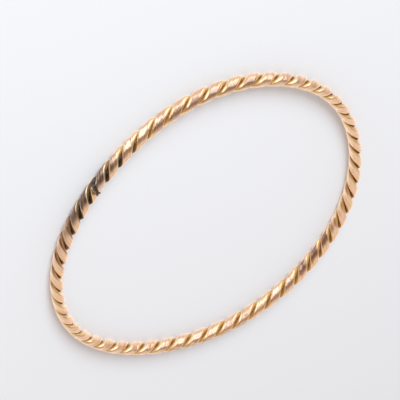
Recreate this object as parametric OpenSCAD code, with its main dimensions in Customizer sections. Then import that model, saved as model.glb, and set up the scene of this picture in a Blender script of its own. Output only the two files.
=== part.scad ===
// Twisted wire bangle: two strands of wire laid round each other with a
// left-handed twist and bent into a closed loop for the wrist.
// The two strands together make a rope of oval section, taller along the
// wrist than it is thick. Each strand is closed by a soldered lap, and a crease
// runs aslant over the laps where the cut ends meet.
// The origin is under the middle of the loop, on the surface it lies on.

/* [Loop] */
// Mean inside diameter of the loop, across the opening for the hand
inner_d = 62; // [50:0.5:80]
// Height of the largest wave of the hand-bent loop
out_of_round = 0.53; // [0:0.01:1.5]

/* [Rope] */
// Thickness of the rope, from the wrist outwards
rope_t = 2.3; // [1.6:0.05:3.2]
// Height of the rope, along the wrist
rope_h = 3.04; // [1.8:0.02:4]
// Radius of the rounded edges of each strand, which make the grooves
edge_r = 0.5; // [0.1:0.01:0.7]
// Gap between the two strands, where they lie together
strand_gap = 0.06; // [0.04:0.01:0.12]

/* [Twist] */
// Full turns of the twist in the loop
turns = 27; // [16:1:34]
// Most that the hand-made twist runs ahead or behind, in degrees of turn
twist_drift = 95; // [0:5:120]
// Direction that strand a faces at the joint, in degrees from outwards to up
joint_face = 68; // [0:2:358]

/* [Joint] */
// Length of the soldered lap, along the rope
lap_len = 2; // [1:0.1:8]
// How far the twist stands back over the lap, in degrees of turn
lap_slip = 84; // [0:2:150]
// Depth of the crease between the soldered ends
crease_d = 0.3; // [0.1:0.05:0.5]
// Width of the crease
crease_w = 0.8; // [0.6:0.05:1.5]
// How far the crease leans along the rope in a quarter turn round it
crease_lean = 1; // [0:0.1:2]

/* [Hidden] */

gold = [0.88, 0.68, 0.5];

// Sections in one full turn, and steps along the round parts of a section
turn_sections = 12;
outer_steps = 4;
edge_steps = 3;
// Least flat that the rounded edges leave on a strand's inner side
least_flat = 0.05;

// Direction of the joint, seen from above
joint_at = 270;

// Where the crease crosses the outermost side of the rope, from the joint, and
// the middle and reach of the side that it runs over, from outwards to up
crease_from = -0.2;
crease_middle = 20;
crease_reach = 126;

// Columns of the two tables below
COUNT = 0;
SHARE = 1;
ANGLE = 2;

// Waves of the hand-bent loop: how many lobes, height as a share of
// out_of_round, and the direction of one lobe
LOOP_WAVES = [
    [2, 1.00, 26],
    [3, 0.92, -31],
    [4, 0.23, -33],
    [6, 0.12, -11]
];

// Drift of the twist round the loop: how many waves, size as a share of
// twist_drift, and where the wave starts
TWIST_WAVES = [
    [1, 1.00, -31],
    [2, 0.15, 104],
    [3, 0.19, 160]
];

rope_r = rope_t / 2;
loop_mean_r = inner_d / 2 + rope_r;
press = rope_h / rope_t;
section_count = turns * turn_sections;
lap_half_angle = lap_len / 2 / (PI * loop_mean_r) * 180;

// A strand's section is a half round whose two corners are rounded off
flat_at = strand_gap / 2;
corner_r = min(edge_r, (rope_r - flat_at - least_flat) / 2);
corner_x = flat_at + corner_r;
corner_y = sqrt(pow(rope_r - corner_r, 2) - pow(corner_x, 2));
corner_angle = atan2(corner_y, corner_x);
flat_angle = 180;

function sum(list, i = 0) = i < len(list) ? list[i] + sum(list, i + 1) : 0;

function polar(r, angle) = [r * cos(angle), r * sin(angle)];

function turned(p, angle) = [
    p[0] * cos(angle) - p[1] * sin(angle),
    p[0] * sin(angle) + p[1] * cos(angle)
];

// Radius of the rope's middle line in one direction
function loop_r(direction) = loop_mean_r + out_of_round * sum([
    for (wave = LOOP_WAVES) wave[SHARE] * cos(wave[COUNT] * (direction - wave[ANGLE]))
]);

// A step from -1 to 1 over the lap, where x is the angle from the joint
function lap_step(x) = abs(x) < lap_half_angle ? sin(90 * x / lap_half_angle) : sign(x);

// Turn of the two strands at an angle x from the joint
function twist(x) = (turns + lap_slip / 360) * x
    - lap_slip / 2 * lap_step(x)
    + twist_drift * sum([
        for (wave = TWIST_WAVES)
            wave[SHARE] * (sin(wave[COUNT] * x + wave[ANGLE]) - sin(wave[ANGLE]))
    ]);

// An angle as one from -180 to 180
function wrapped(angle) = angle - 360 * round(angle / 360);

// Depth of the crease where a strand's outer side faces one way, at an angle x
// from the joint
function crease(x, facing) =
    let (from_middle = (facing - crease_middle) / crease_reach)
    let (fading = abs(from_middle) < 1 ? cos(90 * from_middle) : 0)
    let (off = loop_mean_r * x * PI / 180 - crease_from - crease_lean * facing / 90)
    crease_d * fading * exp(-pow(2 * off / crease_w, 2));

// Outline of one strand, facing +X, with its flat inner side beside x = 0
function outer_round(x, face) = [
    for (i = [0:outer_steps])
        let (angle = corner_angle * (2 * i / outer_steps - 1))
        polar(rope_r - crease(x, wrapped(twist(x) + face + angle)), angle)
];

function upper_corner() = [
    for (i = [1:edge_steps])
        [corner_x, corner_y]
            + polar(corner_r, corner_angle + (flat_angle - corner_angle) * i / edge_steps)
];

function lower_corner() = [
    for (i = [edge_steps - 1:-1:0]) [upper_corner()[i][0], -upper_corner()[i][1]]
];

function strand_outline(x, face) = concat(outer_round(x, face), upper_corner(), lower_corner());

outline_count = outer_steps + 1 + 2 * edge_steps;
// The side of the outline that is the flat, between the two corners
flat_side = outer_steps + edge_steps;

// A point of the outline, set in the loop at an angle x from the joint
function in_loop(p, x, face) =
    let (q = turned(p, twist(x) + face))
    let (r = loop_r(joint_at + x) + q[0])
    [r * cos(joint_at + x), r * sin(joint_at + x), q[1] * press];

function strand_points(face) = [
    for (j = [0:section_count - 1])
        let (x = 360 * j / section_count - 180)
        for (p = strand_outline(x, face)) in_loop(p, x, face)
];

function index(j, i) = (j % section_count) * outline_count + i % outline_count;

// Each four-sided patch is split along its shorter diagonal outside, and
// along the other one on the flat side, which so bends away from the gap
strand_faces = [
    for (j = [0:section_count - 1], i = [0:outline_count - 1])
        let (a = index(j, i), b = index(j, i + 1), c = index(j + 1, i + 1), d = index(j + 1, i))
        each i == flat_side ? [[a, b, c], [a, c, d]] : [[a, b, d], [b, c, d]]
];

points_a = strand_points(joint_face);
points_b = strand_points(joint_face + 180);

function lowest(points, k) = min([for (p = points) p[k]]);
function highest(points, k) = max([for (p = points) p[k]]);
function middle(points, k) = (lowest(points, k) + highest(points, k)) / 2;

both = concat(points_a, points_b);
to_rest = -[middle(both, 0), middle(both, 1), lowest(both, 2)];

module strand(points) {
    translate(to_rest)
        polyhedron(points = points, faces = strand_faces, convexity = 12);
}

module wire_strand_a() {
    color(gold) strand(points_a);
}

module wire_strand_b() {
    color(gold) strand(points_b);
}

wire_strand_a();
wire_strand_b();
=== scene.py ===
import math

import bpy
import numpy as np
from mathutils import Matrix, Vector


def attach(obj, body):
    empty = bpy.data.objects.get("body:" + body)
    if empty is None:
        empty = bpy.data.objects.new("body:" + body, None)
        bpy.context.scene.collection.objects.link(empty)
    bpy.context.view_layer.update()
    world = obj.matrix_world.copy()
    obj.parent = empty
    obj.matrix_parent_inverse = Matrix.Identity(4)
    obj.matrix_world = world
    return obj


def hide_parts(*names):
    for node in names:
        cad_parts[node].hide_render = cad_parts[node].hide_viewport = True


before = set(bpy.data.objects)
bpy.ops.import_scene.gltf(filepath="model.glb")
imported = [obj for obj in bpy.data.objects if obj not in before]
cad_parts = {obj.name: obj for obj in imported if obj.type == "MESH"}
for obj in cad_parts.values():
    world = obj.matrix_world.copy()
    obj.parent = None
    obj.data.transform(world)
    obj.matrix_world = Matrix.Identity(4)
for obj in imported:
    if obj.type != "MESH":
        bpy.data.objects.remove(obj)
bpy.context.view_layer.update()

# The twisted wire bangle as the photo shows it. The two strands of the CAD source are meshed
# finer here, in worn rose gold, with the soldered joint and the marks that its torch left.
# Lengths are in millimetres and angles in degrees. A place on the rope is given by how far
# along it lies from the joint, and by which way the rope's side faces, from outwards to up.

MM = 0.001
DEG = math.pi / 180

# The loop and its rope, as in the CAD source
INNER_D = 62.0
OUT_OF_ROUND = 0.53
ROPE_T = 2.3
ROPE_H = 3.04
EDGE_R = 0.5
STRAND_GAP = 0.06
TURNS = 27
TWIST_DRIFT = 95.0
JOINT_FACE = 68.0
JOINT_AT = 270.0
LAP_LEN = 2.0
LAP_SLIP = 84.0
CREASE_D = 0.3
CREASE_W = 0.8
CREASE_LEAN = 1.0
CREASE_FROM = -0.2
CREASE_MIDDLE = 20.0
CREASE_REACH = 126.0

# Waves of the loop: lobes, share of OUT_OF_ROUND, direction of one lobe
LOOP_WAVES = [(2, 1.00, 26), (3, 0.92, -31), (4, 0.23, -33), (6, 0.12, -11)]
# Drift of the twist: waves, share of TWIST_DRIFT, where the wave starts
TWIST_WAVES = [(1, 1.00, -31), (2, 0.15, 104), (3, 0.19, 160)]

ROPE_R = ROPE_T / 2
LOOP_MEAN_R = INNER_D / 2 + ROPE_R
LOOP_LENGTH = 2 * math.pi * LOOP_MEAN_R
PRESS = ROPE_H / ROPE_T
LAP_HALF_ANGLE = LAP_LEN / 2 / LOOP_MEAN_R / DEG

# A ridge of burr beside the crease, and how far from the crease's middle it stands
BURR_H = 0.07
BURR_W = 0.12
BURR_AT = -0.5

# A bead of solder on the end of the crease
BEAD_AT = (0.6, 95.0)
BEAD_R = 0.33
BEAD_H = 0.14

# Pale solder over the metal beside the crease, and a spot of rusty brown flux
SOLDER_AT = (-0.5, 70.0)
SOLDER_R = 1.5
RUST_AT = (0.95, 60.0)
RUST_R = 0.36
# Share of a spot's radius within which it is full
SPOT_CORE = 0.5

# The marks of the torch: the stretches of rope over which each one begins and ends
STAIN_BEGINS = (-7.0, -4.0)
STAIN_ENDS = (4.0, 18.5)
SOOT_BEGINS = (-12.0, -2.0)
SOOT_ENDS = (6.0, 19.5)
SINGED_BEGINS = (3.0, 8.0)
SINGED_ENDS = (15.0, 24.0)

# The side that is stained, and how far to either side of it the stain fades
STAIN_SIDE = -20.0
STAIN_FADES = (55.0, 105.0)

# The side whose grooves get painted shade, as soot that begins sooner there, by how much, and
# the least share of that on the side that faces away
PAINTED_SHADE_SIDE = 100.0
PAINTED_SHADE_SOONER = 4.0
PAINTED_SHADE_LEAST = -0.35

# Stripes of painted shade, a dark reflection painted on one side of the rope: where along it
# and how far, which side and how far, how dark
PAINTED_SHADE_STRIPES = [(-24.5, 13.0, 55, 48, 0.64), (72.6, 12.3, 66, 50, 0.55), (102.4, 7.5, 176, 48, 0.90)]
# Shares of a stripe's length and of its width within which it is full
STRIPE_CORE_ALONG = 0.7
STRIPE_CORE_ACROSS = 0.4

# How finely the strands are meshed, and how far from the joint the finest sections reach
SECTIONS_PER_TURN = 44
JOINT_SECTIONS = 110
JOINT_ZONE = 1.6
OUTER_STEPS = 30
EDGE_STEPS = 10
FLAT_STEPS = 4

# Linear colours of the metal and of what lies on it
GOLD_PINK = (0.93, 0.59, 0.40)
GOLD_YELLOW = (0.93, 0.62, 0.36)
GOLD_IN_GROOVE = (0.98, 0.70, 0.37)
# Tarnish in the draw marks, and also the colour of the stripes of painted shade
TARNISH_AND_SHADE = (0.42, 0.245, 0.165)
DIRT = (0.51, 0.265, 0.088)
SOOT = (0.115, 0.065, 0.031)
SOOT_IN_CREASE = (0.048, 0.040, 0.036)
SINGED = (0.40, 0.19, 0.11)
STAIN = (0.21, 0.152, 0.112)
STAIN_THIN = (0.42, 0.24, 0.17)
SOLDER = (0.84, 0.66, 0.51)
RUST = (0.34, 0.145, 0.055)

# What each point of a strand is marked with for the material, from 0 to 1 or more
# Two of the marks carry painted shade: dark stripes on one side of the rope, and soot that begins
# sooner on one side
MARKS = ("deep", "creased", "stained", "soot_and_painted_shade", "singed", "painted_shade_stripe", "soldered", "rusty", "far_side")

# Noises of the metal: how finely they run round the loop and across the rope, per millimetre,
# and how detailed they are
NOISES = {
    "patches": (0.5, 0.7, 3.0),
    "draw_marks": (0.3, 2.6, 4.0),
    "dents": (0.8, 1.0, 2.0),
    "hammered": (0.33, 0.4, 1.0),
}
# Depths of the relief that some of the noises make
RELIEF = {"hammered": 0.22, "dents": 0.13, "draw_marks": 0.024}

# Soft steps of the noises: patches from pink gold to yellow, draw marks from tarnished ones
# to clean, and draw marks from fully stained ones to streaks that hold less stain
YELLOW_PATCHES = (0.3, 0.7)
TARNISHED_MARKS = (0.38, 0.52)
STREAKED_MARKS = (0.46, 0.60)
# How dark the tarnished draw marks are, and how much less stain the streaks hold
TARNISHED_SHARE = 0.27
STREAK_SHARE = 0.3

# How deep a groove is, as a share of the rope's radius, over the soft steps where it turns
# yellow, is singed and holds dirt, and where the stain beside it ends
YELLOW_GROOVE = (0.03, 0.16)
SINGED_GROOVE = (0.01, 0.07)
DIRTY_GROOVE = (0.20, 0.40)
UNSTAINED_GROOVE = (0.02, 0.05)
# How much deeper a groove counts for dirt: in patches, and for each part of its depth where
# there is soot, which holds painted shade on one side, on the loop's far side, and in the crease
PATCHY_DIRT = 0.05
SOOT_AND_SHADE_FILL = 1.6
FAR_DIRT = 0.9
CREASE_DIRT = 2.2

# Roughness of clean gold, and what patches, the loop's far side and dirt or stain add to it
ROUGH = 0.05
ROUGH_PATCHES = 0.10
ROUGH_FAR_SIDE = 0.08
ROUGH_DIRT = 0.2
# How much of the metal's shine dirt takes
DIRT_DULLS = 0.35

# The camera: from where it looks at the loop, how it is held, and its lens
VIEW_DISTANCE = 324.0
VIEW_DIRECTION = -112.84
VIEW_HEIGHT = 37.30
VIEW_ROLL = 142.93
LOOKS_AT = (-3.54, -6.75)
LENS = 159.3
SENSOR = 36.0
CLIP_NEAR = 10.0
CLIP_FAR = 20000.0

# The floor, and the lamp that lights and shades it
FLOOR_REACH = 4000.0
FLOOR_ROUGH = 0.9
FLOOR = (0.42, 0.42, 0.425)
FLOOR_GLOW = (0.211, 0.170, 0.153)
KEY_POWER = 12.0
KEY_DIRECTION = 222.0
KEY_HEIGHT = 30.0
KEY_DISTANCE = 800.0
KEY_SIZE = 400.0
KEY_TINT = (0.885, 1.025, 1.11)

# Brightness of the photographer's room, as the metal mirrors it
TABLE = (0.87, 0.865, 0.88)
BACKDROP = (1.14, 1.16, 1.24)
DARK_ROOM = (0.34, 0.262, 0.236)
LAMP_TINT = (0.85, 1.09, 1.46)

# The room is laid out by how far a direction points up, right and towards the camera, from
# -1 to 1. Each pair is a soft step: from the backdrop to the table, into the dark side behind
# the camera, over its lower and its upper edge, and to its right, where it is paler.
TABLE_STEP = (-0.9, -0.2)
DARK_STEP = (-0.65, 0.4)
DARK_LOWER_EDGE = (-0.80, -0.18)
DARK_UPPER_EDGE = (0.16, 0.60)
PALER_STEP = (-0.75, 0.55)
PALER_SHARE = 0.27
# How much lower the dark side lies the more a direction points towards the camera, and how
# much higher it lies everywhere
DARK_LEAN = 0.41
DARK_RAISED = 0.23

# Soft boxes: degrees to the right, height, half width, half height, and brightness
SOFT_BOXES = [(-55, 33, 28, 21, 1.02), (48, 51, 27, 27, 0.84)]
# Softness of their edges, and the step that keeps out their likeness behind
BOX_SOFTNESS = 0.13
BOX_FRONT = (0.2, 0.3)


def loop_radius(direction):
    """Radius of the rope's middle line in some directions."""
    waves = sum(
        share * np.cos(count * (direction - angle) * DEG)
        for count, share, angle in LOOP_WAVES
    )
    return LOOP_MEAN_R + OUT_OF_ROUND * waves


def lap_step(x):
    """A step from -1 to 1 over the lap, for angles x from the joint."""
    inside = np.sin(np.clip(x / LAP_HALF_ANGLE, -1, 1) * 90 * DEG)
    return np.where(np.abs(x) < LAP_HALF_ANGLE, inside, np.sign(x))


def twist(x):
    """Turn of the two strands at angles x from the joint."""
    drift = sum(
        share * (np.sin((count * x + angle) * DEG) - math.sin(angle * DEG))
        for count, share, angle in TWIST_WAVES
    )
    return (TURNS + LAP_SLIP / 360) * x - LAP_SLIP / 2 * lap_step(x) + TWIST_DRIFT * drift


def strand_outline():
    """One strand's section, facing +X, from the middle of its flat inner side and round."""
    flat_at = STRAND_GAP / 2
    corner_x = flat_at + EDGE_R
    corner_y = math.sqrt((ROPE_R - EDGE_R) ** 2 - corner_x ** 2)
    corner_angle = math.atan2(corner_y, corner_x)
    flat = np.linspace(0, -corner_y, FLAT_STEPS + 1)[:-1]
    edge = np.linspace(-math.pi, -corner_angle, EDGE_STEPS + 1)[:-1]
    outer = np.linspace(-corner_angle, corner_angle, OUTER_STEPS + 1)
    lower_flat = np.stack([np.full(len(flat), flat_at), flat], -1)
    lower_edge = np.stack([corner_x + EDGE_R * np.cos(edge), -corner_y + EDGE_R * np.sin(edge)], -1)
    rounded = np.stack([ROPE_R * np.cos(outer), ROPE_R * np.sin(outer)], -1)
    lower = np.concatenate([lower_flat, lower_edge])
    return np.concatenate([lower, rounded, lower[:0:-1] * (1, -1)])


def along_outline(outline):
    """Distance of each point of the outline from its outermost one, along the outline."""
    steps = np.hypot(*np.diff(outline, axis=0).T)
    return np.concatenate([[0], np.cumsum(steps)]) - steps.sum() / 2


def section_angles():
    """Angles of the sections from the joint, which lie closer together over the joint."""
    zone = JOINT_ZONE / LOOP_MEAN_R / DEG
    over_joint = np.linspace(-zone, zone, JOINT_SECTIONS)
    rest = np.linspace(zone, 360 - zone, TURNS * SECTIONS_PER_TURN)[1:-1]
    return np.concatenate([over_joint, np.where(rest > 180, rest - 360, rest)])


def crease_depth(along, facing):
    """Depth of the crease where the cut ends meet, less the ridge of burr beside it."""
    off = along - CREASE_FROM - CREASE_LEAN * facing / 90
    from_middle = np.clip((facing - CREASE_MIDDLE) / CREASE_REACH, -1, 1)
    crease = CREASE_D * np.exp(-(2 * off / CREASE_W) ** 2)
    burr = BURR_H * np.exp(-((off - BURR_AT) / BURR_W) ** 2)
    return (crease - burr) * np.cos(90 * DEG * from_middle)


def distance_on_rope(along, facing, at):
    """Distance of places on the rope's outside from one place there."""
    return np.hypot(along - at[0], (facing - at[1]) * DEG * ROPE_R)


def bead_height(along, facing):
    """Height of the bead of solder, which is a half ball pressed flat."""
    off = distance_on_rope(along, facing, BEAD_AT)
    return BEAD_H * np.sqrt(np.clip(1 - (off / BEAD_R) ** 2, 0, 1))


def smooth(value, start, end):
    """A soft step from 0 at the start to 1 at the end."""
    share = np.clip((value - start) / (end - start), 0, 1)
    return share * share * (3 - 2 * share)


def spot(along, facing, at, radius):
    """How much of a soft round spot lies on the rope, from 0 to 1."""
    return 1 - smooth(distance_on_rope(along, facing, at) / radius, SPOT_CORE, 1)


def stained(along, facing):
    """How much the torch stained the metal, from 0 to 1."""
    length = smooth(along, *STAIN_BEGINS) * (1 - smooth(along, *STAIN_ENDS))
    return length * (1 - smooth(np.abs(facing - STAIN_SIDE), *STAIN_FADES))


def soot_and_painted_shade(along, facing):
    """How much soot the grooves hold, from 0 to 1. On one side it begins sooner, as painted shade."""
    sooner = PAINTED_SHADE_SOONER * np.maximum(np.cos((facing - PAINTED_SHADE_SIDE) * DEG), PAINTED_SHADE_LEAST)
    return smooth(along + sooner, *SOOT_BEGINS) * (1 - smooth(along, *SOOT_ENDS))


def singed(along):
    """How brown the torch left the sides of the grooves, from 0 to 1."""
    return smooth(along, *SINGED_BEGINS) * (1 - smooth(along, *SINGED_ENDS))


def painted_shade_stripe(along, facing):
    """How dark the stripes of painted shade on the rope are, from 0 to 1."""
    darkest = np.zeros_like(facing)
    for middle, reach, side, spread, share in PAINTED_SHADE_STRIPES:
        off = shorter_way(along - middle, LOOP_LENGTH) / reach
        turned_away = shorter_way(facing - side, 360) / spread
        stripe = 1 - smooth(off, STRIPE_CORE_ALONG, 1)
        stripe = stripe * (1 - smooth(turned_away, STRIPE_CORE_ACROSS, 1))
        darkest = np.maximum(darkest, share * stripe)
    return darkest


def shorter_way(step, whole):
    """Size of a step round a closed path, by the shorter way."""
    return np.abs((step + whole / 2) % whole - whole / 2)


def strand_sections(face):
    """Sections of one strand round the loop: their points, their marks, and their lay,
    which is each point's place along the loop and round its wire, for the noises."""
    outline = strand_outline()
    x = section_angles()[:, None]
    turn = (twist(x) + face) * DEG
    across = outline[:, 0] * np.cos(turn) - outline[:, 1] * np.sin(turn)
    upward = outline[:, 0] * np.sin(turn) + outline[:, 1] * np.cos(turn)
    along = x * DEG * LOOP_MEAN_R
    facing = np.arctan2(upward, across) / DEG
    crease = crease_depth(along, facing)
    bead = bead_height(along, facing)
    swell = 1 + (bead - crease) / ROPE_R
    direction = JOINT_AT + x
    radius = loop_radius(direction) + across * swell
    points = np.stack([
        radius * np.cos(direction * DEG),
        radius * np.sin(direction * DEG),
        upward * swell * PRESS,
    ], -1)
    depth = 1 - np.hypot(across, upward) / ROPE_R
    # The crease and the bead hold dirt and soot as a groove does
    marks = {
        "deep": depth + CREASE_DIRT * np.maximum(crease, 0) / ROPE_R + bead / BEAD_H,
        "creased": np.clip(crease / CREASE_D, 0, 1),
        "stained": stained(along, facing),
        # Soot near the joint, with painted shade where it begins sooner on one side
        "soot_and_painted_shade": soot_and_painted_shade(along, facing),
        "singed": singed(along),
        # Stripes of painted shade on one side of the rope
        "painted_shade_stripe": painted_shade_stripe(along, facing),
        "soldered": spot(along, facing, SOLDER_AT, SOLDER_R),
        "rusty": spot(along, facing, RUST_AT, RUST_R),
        "far_side": (1 - np.cos(x * DEG)) / 2,
    }
    marks = {name: np.broadcast_to(values, depth.shape) for name, values in marks.items()}
    lay = np.stack(np.broadcast_arrays(
        LOOP_MEAN_R * np.cos(x * DEG),
        LOOP_MEAN_R * np.sin(x * DEG),
        along_outline(outline),
    ), -1)
    return points, marks, lay


def rest_shift():
    """How far the loop moves so that it lies on the floor, with its box centred."""
    points = np.concatenate([strand_sections(face)[0] for face in (JOINT_FACE, JOINT_FACE + 180)])
    low, high = points.reshape(-1, 3).min(0), points.reshape(-1, 3).max(0)
    return -np.array([(low[0] + high[0]) / 2, (low[1] + high[1]) / 2, low[2]])


def add_strand(name, node, face, shift, material):
    """One strand, in place of the CAD node, with the marks that its material reads."""
    points, marks, lay = strand_sections(face)
    points = (points + shift) * MM
    sections, count = points.shape[:2]
    section, place = np.meshgrid(np.arange(sections), np.arange(count), indexing="ij")
    here, there = section * count, (section + 1) % sections * count
    next_place = (place + 1) % count
    quads = np.stack([here + place, there + place, there + next_place, here + next_place], -1)
    mesh = bpy.data.meshes.new(name)
    mesh.from_pydata(points.reshape(-1, 3).tolist(), [], quads.reshape(-1, 4).tolist())
    mesh.update()
    mesh.shade_smooth()
    for mark, values in marks.items():
        mesh.attributes.new(mark, "FLOAT", "POINT").data.foreach_set("value", values.ravel())
    mesh.attributes.new("lay", "FLOAT_VECTOR", "POINT").data.foreach_set("vector", lay.ravel())
    mesh.materials.append(material)
    strand = bpy.data.objects.new(name, mesh)
    bpy.context.scene.collection.objects.link(strand)
    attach(strand, "root")
    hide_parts(node)


def mark_node(tree, name, output):
    """Node that reads one of the marks of the strands, or their lay."""
    node = tree.nodes.new("ShaderNodeAttribute")
    node.attribute_name = name
    return node.outputs[output]


def math_node(tree, operation, *values):
    """Node for arithmetic on numbers and sockets."""
    node = tree.nodes.new("ShaderNodeMath")
    node.operation = operation
    for socket, value in zip(node.inputs, values):
        if isinstance(value, (int, float)):
            socket.default_value = value
        else:
            tree.links.new(value, socket)
    return node.outputs[0]


def dot_node(tree, vector, direction):
    """How far a vector points in one direction."""
    node = tree.nodes.new("ShaderNodeVectorMath")
    node.operation = "DOT_PRODUCT"
    tree.links.new(vector, node.inputs[0])
    node.inputs[1].default_value = direction
    return node.outputs["Value"]


def noise_node(tree, lay, round_loop, across, detail):
    """Noise that runs this finely round the loop and across the rope, per millimetre."""
    stretched = tree.nodes.new("ShaderNodeVectorMath")
    stretched.operation = "MULTIPLY"
    tree.links.new(lay, stretched.inputs[0])
    stretched.inputs[1].default_value = (round_loop, round_loop, across)
    node = tree.nodes.new("ShaderNodeTexNoise")
    tree.links.new(stretched.outputs["Vector"], node.inputs["Vector"])
    node.inputs["Scale"].default_value = 1.0
    node.inputs["Detail"].default_value = detail
    return node.outputs["Fac"]


def mix_colours(tree, share, first, second):
    """The first colour, with some share of the second over it."""
    node = tree.nodes.new("ShaderNodeMix")
    node.data_type = "RGBA"
    tree.links.new(share, node.inputs[0])
    colour_sockets = [socket for socket in node.inputs if socket.type == "RGBA"]
    for socket, colour in zip(colour_sockets, (first, second)):
        if isinstance(colour, tuple):
            socket.default_value = (*colour, 1)
        else:
            tree.links.new(colour, socket)
    return next(socket for socket in node.outputs if socket.type == "RGBA")


def fade(tree, value, start, end):
    """0 below start, 1 above end, with a soft step between them."""
    node = tree.nodes.new("ShaderNodeMapRange")
    node.interpolation_type = "SMOOTHSTEP"
    tree.links.new(value, node.inputs["Value"])
    node.inputs["From Min"].default_value = start
    node.inputs["From Max"].default_value = end
    return node.outputs["Result"]


def fade_out(tree, value, start, end):
    """1 below start, 0 above end, with a soft step between them."""
    return math_node(tree, "SUBTRACT", 1.0, fade(tree, value, start, end))


def bump(tree, height, depth, under):
    """Relief of some depth, on top of the relief under it if there is any."""
    node = tree.nodes.new("ShaderNodeBump")
    node.inputs["Distance"].default_value = depth * MM
    tree.links.new(height, node.inputs["Height"])
    if under is not None:
        tree.links.new(under, node.inputs["Normal"])
    return node.outputs["Normal"]


def gold_colour(tree, mark, noise, frayed):
    """Gold, pinker on the lobes and yellower in the grooves, with tarnish, stripes of painted shade
    and pale solder.
    """
    colour = mix_colours(tree, fade(tree, noise["patches"], *YELLOW_PATCHES), GOLD_PINK, GOLD_YELLOW)
    in_marks = fade_out(tree, noise["draw_marks"], *TARNISHED_MARKS)
    in_marks = math_node(tree, "MULTIPLY", in_marks, TARNISHED_SHARE)
    # The stripes of painted shade darken the metal the same way as the tarnish of the draw marks
    tarnish_and_shade_share = math_node(tree, "MAXIMUM", mark["painted_shade_stripe"], in_marks)
    colour = mix_colours(tree, tarnish_and_shade_share, colour, TARNISH_AND_SHADE)
    colour = mix_colours(tree, mark["soldered"], colour, SOLDER)
    return mix_colours(tree, fade(tree, frayed, *YELLOW_GROOVE), colour, GOLD_IN_GROOVE)


def groove_colour(tree, mark, dirt, colour):
    """The colour, browned beside the grooves by the torch, with dirt, soot and painted shade in them.
    """
    brown = math_node(tree, "MULTIPLY", fade(tree, mark["deep"], *SINGED_GROOVE), mark["singed"])
    colour = mix_colours(tree, brown, colour, SINGED)
    soot = mix_colours(tree, mark["creased"], SOOT, SOOT_IN_CREASE)
    return mix_colours(tree, dirt, colour, mix_colours(tree, mark["soot_and_painted_shade"], DIRT, soot))


def dirt_share(tree, mark, frayed):
    """How much dirt covers the metal. Soot and its painted shade, and the loop's far side, fill the
    grooves higher.
    """
    far_side = math_node(tree, "MULTIPLY", mark["far_side"], mark["far_side"])
    # Soot, with painted shade on one side, fills the grooves higher
    soot = math_node(tree, "MULTIPLY", mark["soot_and_painted_shade"], SOOT_AND_SHADE_FILL)
    held = math_node(tree, "MULTIPLY_ADD", far_side, FAR_DIRT, soot)
    filled = math_node(tree, "MULTIPLY_ADD", mark["deep"], held, frayed)
    return fade(tree, filled, *DIRTY_GROOVE)


def stain_share(tree, mark, noise):
    """How much stain covers the metal. It is streaked, and ends at the grooves."""
    streaks = fade_out(tree, noise["draw_marks"], *STREAKED_MARKS)
    streaks = math_node(tree, "MULTIPLY_ADD", streaks, STREAK_SHARE, 1 - STREAK_SHARE)
    stain = math_node(tree, "MULTIPLY", mark["stained"], streaks)
    return math_node(tree, "MULTIPLY", stain, fade_out(tree, mark["deep"], *UNSTAINED_GROOVE))


def roughness(tree, mark, noise, dirt, stain):
    """Roughness of the metal and of what covers it."""
    rough = math_node(tree, "MULTIPLY_ADD", noise["patches"], ROUGH_PATCHES, ROUGH)
    rough = math_node(tree, "MULTIPLY_ADD", mark["far_side"], ROUGH_FAR_SIDE, rough)
    covered = math_node(tree, "MAXIMUM", dirt, stain)
    return math_node(tree, "MULTIPLY_ADD", covered, ROUGH_DIRT, rough)


def rose_gold():
    """Worn rose gold with draw marks, dents, dirt in its grooves, the torch's marks and painted shade.
    """
    material = bpy.data.materials.new("rose_gold")
    material.use_nodes = True
    tree = material.node_tree
    shader = tree.nodes["Principled BSDF"]
    mark = {name: mark_node(tree, name, "Fac") for name in MARKS}
    lay = mark_node(tree, "lay", "Vector")
    noise = {name: noise_node(tree, lay, *fineness) for name, fineness in NOISES.items()}
    frayed = math_node(tree, "MULTIPLY_ADD", noise["patches"], PATCHY_DIRT, mark["deep"])
    dirt = dirt_share(tree, mark, frayed)
    stain = stain_share(tree, mark, noise)
    colour = gold_colour(tree, mark, noise, frayed)
    colour = groove_colour(tree, mark, dirt, colour)
    colour = mix_colours(tree, stain, colour, mix_colours(tree, stain, STAIN_THIN, STAIN))
    colour = mix_colours(tree, mark["rusty"], colour, RUST)
    tree.links.new(colour, shader.inputs["Base Color"])
    tree.links.new(math_node(tree, "MULTIPLY_ADD", dirt, -DIRT_DULLS, 1.0), shader.inputs["Metallic"])
    tree.links.new(roughness(tree, mark, noise, dirt, stain), shader.inputs["Roughness"])
    relief = None
    for name, depth in RELIEF.items():
        relief = bump(tree, noise[name], depth, relief)
    tree.links.new(relief, shader.inputs["Normal"])
    return material


def pointing(direction, height):
    """Unit vector in a direction over the floor and at a height above it, both as angles."""
    level = math.cos(height * DEG)
    return Vector((
        level * math.cos(direction * DEG),
        level * math.sin(direction * DEG),
        math.sin(height * DEG),
    ))


def camera_axes():
    """Unit vectors to the picture's right, up, and back towards the camera. The room that
    the metal mirrors is laid out along them."""
    back = pointing(VIEW_DIRECTION, VIEW_HEIGHT)
    level = Vector((0, 0, 1)).cross(back).normalized()
    rise = back.cross(level)
    roll = VIEW_ROLL * DEG
    right = math.cos(roll) * level + math.sin(roll) * rise
    up = -math.sin(roll) * level + math.cos(roll) * rise
    return right, up, back


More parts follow.
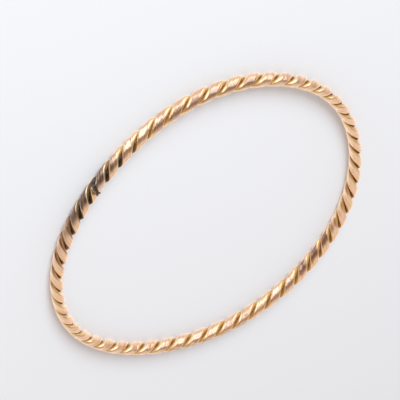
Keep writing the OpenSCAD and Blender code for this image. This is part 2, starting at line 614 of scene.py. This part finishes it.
def add_camera(shift):
    """The camera, at the photo's viewing angle."""
    right, up, back = camera_axes()
    target = Vector((LOOKS_AT[0] + shift[0], LOOKS_AT[1] + shift[1], shift[2])) * MM
    camera = bpy.data.objects.new("camera", bpy.data.cameras.new("camera"))
    camera.data.lens = LENS
    camera.data.sensor_width = SENSOR
    camera.data.clip_start = CLIP_NEAR * MM
    camera.data.clip_end = CLIP_FAR * MM
    place = target + back * VIEW_DISTANCE * MM
    camera.matrix_world = Matrix((
        (right.x, up.x, back.x, place.x),
        (right.y, up.y, back.y, place.y),
        (right.z, up.z, back.z, place.z),
        (0, 0, 0, 1),
    ))
    bpy.context.scene.collection.objects.link(camera)
    bpy.context.scene.camera = camera


def add_floor():
    """A pale floor that glows softly. Part of the room that the metal mirrors lies below it,
    so the metal doesn't mirror the floor, and the floor shades nothing."""
    reach = FLOOR_REACH * MM
    mesh = bpy.data.meshes.new("floor")
    corners = [(-reach, -reach, 0), (reach, -reach, 0), (reach, reach, 0), (-reach, reach, 0)]
    mesh.from_pydata(corners, [], [(0, 1, 2, 3)])
    floor = bpy.data.objects.new("floor", mesh)
    bpy.context.scene.collection.objects.link(floor)
    material = bpy.data.materials.new("floor")
    material.use_nodes = True
    shader = material.node_tree.nodes["Principled BSDF"]
    shader.inputs["Base Color"].default_value = (*FLOOR, 1)
    shader.inputs["Roughness"].default_value = FLOOR_ROUGH
    shader.inputs["Emission Color"].default_value = (*FLOOR_GLOW, 1)
    shader.inputs["Emission Strength"].default_value = 1.0
    mesh.materials.append(material)
    floor.visible_glossy = False
    floor.visible_shadow = False


def soft_box(tree, direction, azimuth, height, half_width, half_height):
    """Brightness of a soft box in the directions of the room, from 0 to 1."""
    right, up, back = camera_axes()
    level = math.cos(height * DEG)
    ahead = back * (level * math.cos(azimuth * DEG))
    centre = ahead + right * (level * math.sin(azimuth * DEG)) + up * math.sin(height * DEG)
    side = up.cross(centre).normalized()
    rise = centre.cross(side)
    inside = fade(tree, dot_node(tree, direction, centre), *BOX_FRONT)
    for axis, half in ((side, half_width), (rise, half_height)):
        across = math_node(tree, "ABSOLUTE", dot_node(tree, direction, axis))
        edge = math.sin(half * DEG)
        within = fade_out(tree, across, edge - BOX_SOFTNESS, edge + BOX_SOFTNESS)
        inside = math_node(tree, "MULTIPLY", inside, within)
    return inside


def dark_side(tree, direction):
    """How dark the room is in each direction, from 0 to 1: a band behind the camera."""
    right, up, back = camera_axes()
    towards = dot_node(tree, direction, back)
    lean = math_node(tree, "MULTIPLY_ADD", towards, DARK_LEAN, -DARK_RAISED)
    height = math_node(tree, "ADD", dot_node(tree, direction, up), lean)
    above = fade(tree, height, *DARK_LOWER_EDGE)
    dark = math_node(tree, "MULTIPLY", above, fade_out(tree, height, *DARK_UPPER_EDGE))
    dark = math_node(tree, "MULTIPLY", dark, fade(tree, towards, *DARK_STEP))
    paler = fade(tree, dot_node(tree, direction, right), *PALER_STEP)
    paler = math_node(tree, "MULTIPLY_ADD", paler, -PALER_SHARE, 1.0)
    return math_node(tree, "MULTIPLY", dark, paler)


def add_room():
    """The photographer's room, as the metal mirrors it: white table and backdrop, two soft
    boxes above, and the darker room behind the camera between them."""
    world = bpy.data.worlds.new("room")
    bpy.context.scene.world = world
    world.use_nodes = True
    tree = world.node_tree
    direction = tree.nodes.new("ShaderNodeTexCoord").outputs["Generated"]
    back = camera_axes()[2]
    backdrop = fade_out(tree, dot_node(tree, direction, back), *TABLE_STEP)
    walls = mix_colours(tree, backdrop, TABLE, BACKDROP)
    walls = mix_colours(tree, dark_side(tree, direction), walls, DARK_ROOM)
    lamps = 0.0
    for *box, brightness in SOFT_BOXES:
        lamps = math_node(tree, "MULTIPLY_ADD", soft_box(tree, direction, *box), brightness, lamps)
    shine = tree.nodes.new("ShaderNodeVectorMath")
    shine.operation = "MULTIPLY_ADD"
    tree.links.new(lamps, shine.inputs[0])
    shine.inputs[1].default_value = LAMP_TINT
    tree.links.new(walls, shine.inputs[2])
    tree.links.new(shine.outputs["Vector"], tree.nodes["Background"].inputs["Color"])


def add_key_light():
    """A wide lamp to one side of the camera, which lights the floor and shades it softly."""
    light = bpy.data.lights.new("key_light", "AREA")
    light.shape = "DISK"
    light.size = KEY_SIZE * MM
    light.energy = KEY_POWER
    light.color = KEY_TINT
    lamp = bpy.data.objects.new("key_light", light)
    towards_lamp = pointing(KEY_DIRECTION, KEY_HEIGHT)
    lamp.location = towards_lamp * KEY_DISTANCE * MM
    lamp.rotation_euler = towards_lamp.to_track_quat("Z", "Y").to_euler()
    lamp.visible_glossy = False
    lamp.visible_camera = False
    bpy.context.scene.collection.objects.link(lamp)


shift = rest_shift()
add_camera(shift)
add_floor()
add_room()
add_key_light()
gold = rose_gold()
add_strand("strand_a", "wire_strand_a", JOINT_FACE, shift, gold)
add_strand("strand_b", "wire_strand_b", JOINT_FACE + 180, shift, gold)
bpy.context.scene.view_settings.view_transform = "Standard"
